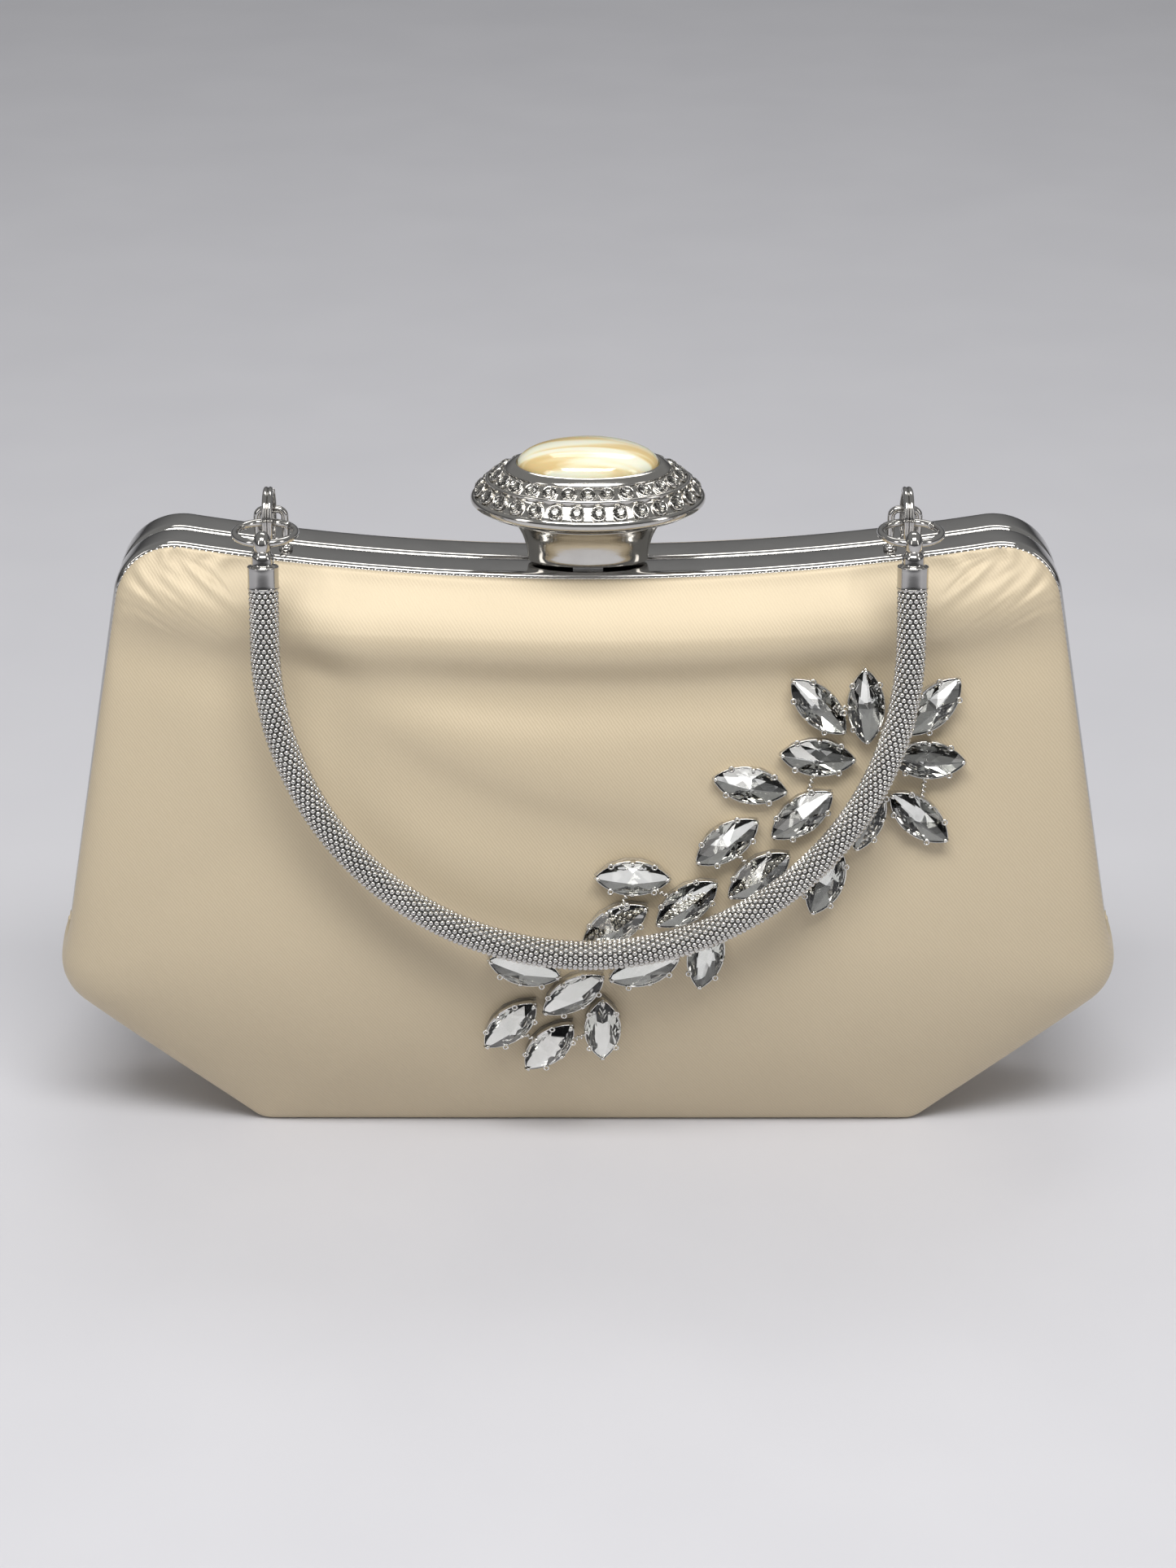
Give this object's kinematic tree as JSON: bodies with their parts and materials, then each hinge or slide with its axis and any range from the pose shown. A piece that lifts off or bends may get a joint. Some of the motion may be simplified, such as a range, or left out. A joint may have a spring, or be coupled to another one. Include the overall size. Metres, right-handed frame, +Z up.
{
  "type": "evening bag",
  "caption": "Hard-shell satin evening bag with a hinged metal frame, jewelled oval knob clasp, beaded tube handle on rings and a crystal leaf spray on the front.",
  "frame": {"origin": "middle of the flat base, on the closing plane between the two halves", "axes": "+X to the right in a front view, -Y out of the decorated front, +Z up"},
  "size_m": [0.2212, 0.0679, 0.148],
  "materials": {
    "satin": "champagne satin with a soft sheen",
    "lining": "plain woven lining",
    "shell_board": "moulded shell, hidden",
    "frame_metal": "polished",
    "beaded_metal": "small raised beads all over",
    "steel": "plain",
    "setting_metal": "polished claw settings",
    "crystal": "faceted, foil backed",
    "clear_film": "thin clear backing",
    "cabochon_stone": "banded cream resin, polished"
  },
  "bodies": {
    "rear_half": {"rear_frame": "frame_metal", "rear_satin": "satin", "rear_shell": "shell_board", "rear_lining": "lining", "inner_pocket": "lining", "hinge_pins": "steel", "catch_spring": "steel", "base_gusset": "satin", "left_gusset": "satin", "right_gusset": "satin", "left_side_fold": "lining", "right_side_fold": "lining"},
    "front_half": {"front_frame": "frame_metal", "front_satin": "satin", "front_shell": "shell_board", "front_lining": "lining", "handle_loops": "frame_metal", "clasp_bracket": "steel", "clasp_pin": "steel", "clasp_spring": "steel", "spray_backing": "clear_film", "spray_settings": "setting_metal", "spray_stones": "crystal"},
    "clasp": {"latch_lever": "steel", "knob_base": "frame_metal", "knob_dish": "frame_metal", "lower_rhinestones": "crystal", "upper_rhinestones": "crystal", "knob_bezel": "frame_metal", "cabochon": "cabochon_stone"},
    "link_rings": {"split_rings": "frame_metal"},
    "handle_rings": {"jump_rings": "frame_metal"},
    "handle": {"left_end_cap": "frame_metal", "right_end_cap": "frame_metal", "handle_tube": "beaded_metal", "handle_core": "steel"}
  },
  "joints": [
    {"name": "frame_open", "type": "hinge", "parent": "rear_half", "child": "front_half", "pos_m": [0, 0, 0.046], "axis": [1, 0, 0], "range_deg": [0, 32], "deforming": ["base_gusset", "left_gusset", "right_gusset", "left_side_fold", "right_side_fold", "catch_spring"]},
    {"name": "clasp_tilt", "type": "hinge", "parent": "front_half", "child": "clasp", "pos_m": [0, -0.0072, 0.117], "axis": [1, 0, 0], "range_deg": [0, 12], "stiffness_Nm_per_rad": 0.05, "deforming": ["clasp_spring"]},
    {"name": "link_swing", "type": "hinge", "parent": "front_half", "child": "link_rings", "pos_m": [0, -0.0047, 0.1342], "axis": [-1, 0, 0], "range_deg": [0, 75]},
    {"name": "ring_swing", "type": "hinge", "parent": "link_rings", "child": "handle_rings", "pos_m": [0, -0.012, 0.1342], "axis": [-1, 0, 0], "range_deg": [0, 30]},
    {"name": "handle_swing", "type": "hinge", "parent": "handle_rings", "child": "handle", "pos_m": [0, -0.0239, 0.1342], "axis": [-1, 0, 0], "range_deg": [0, 75]}
  ]
}
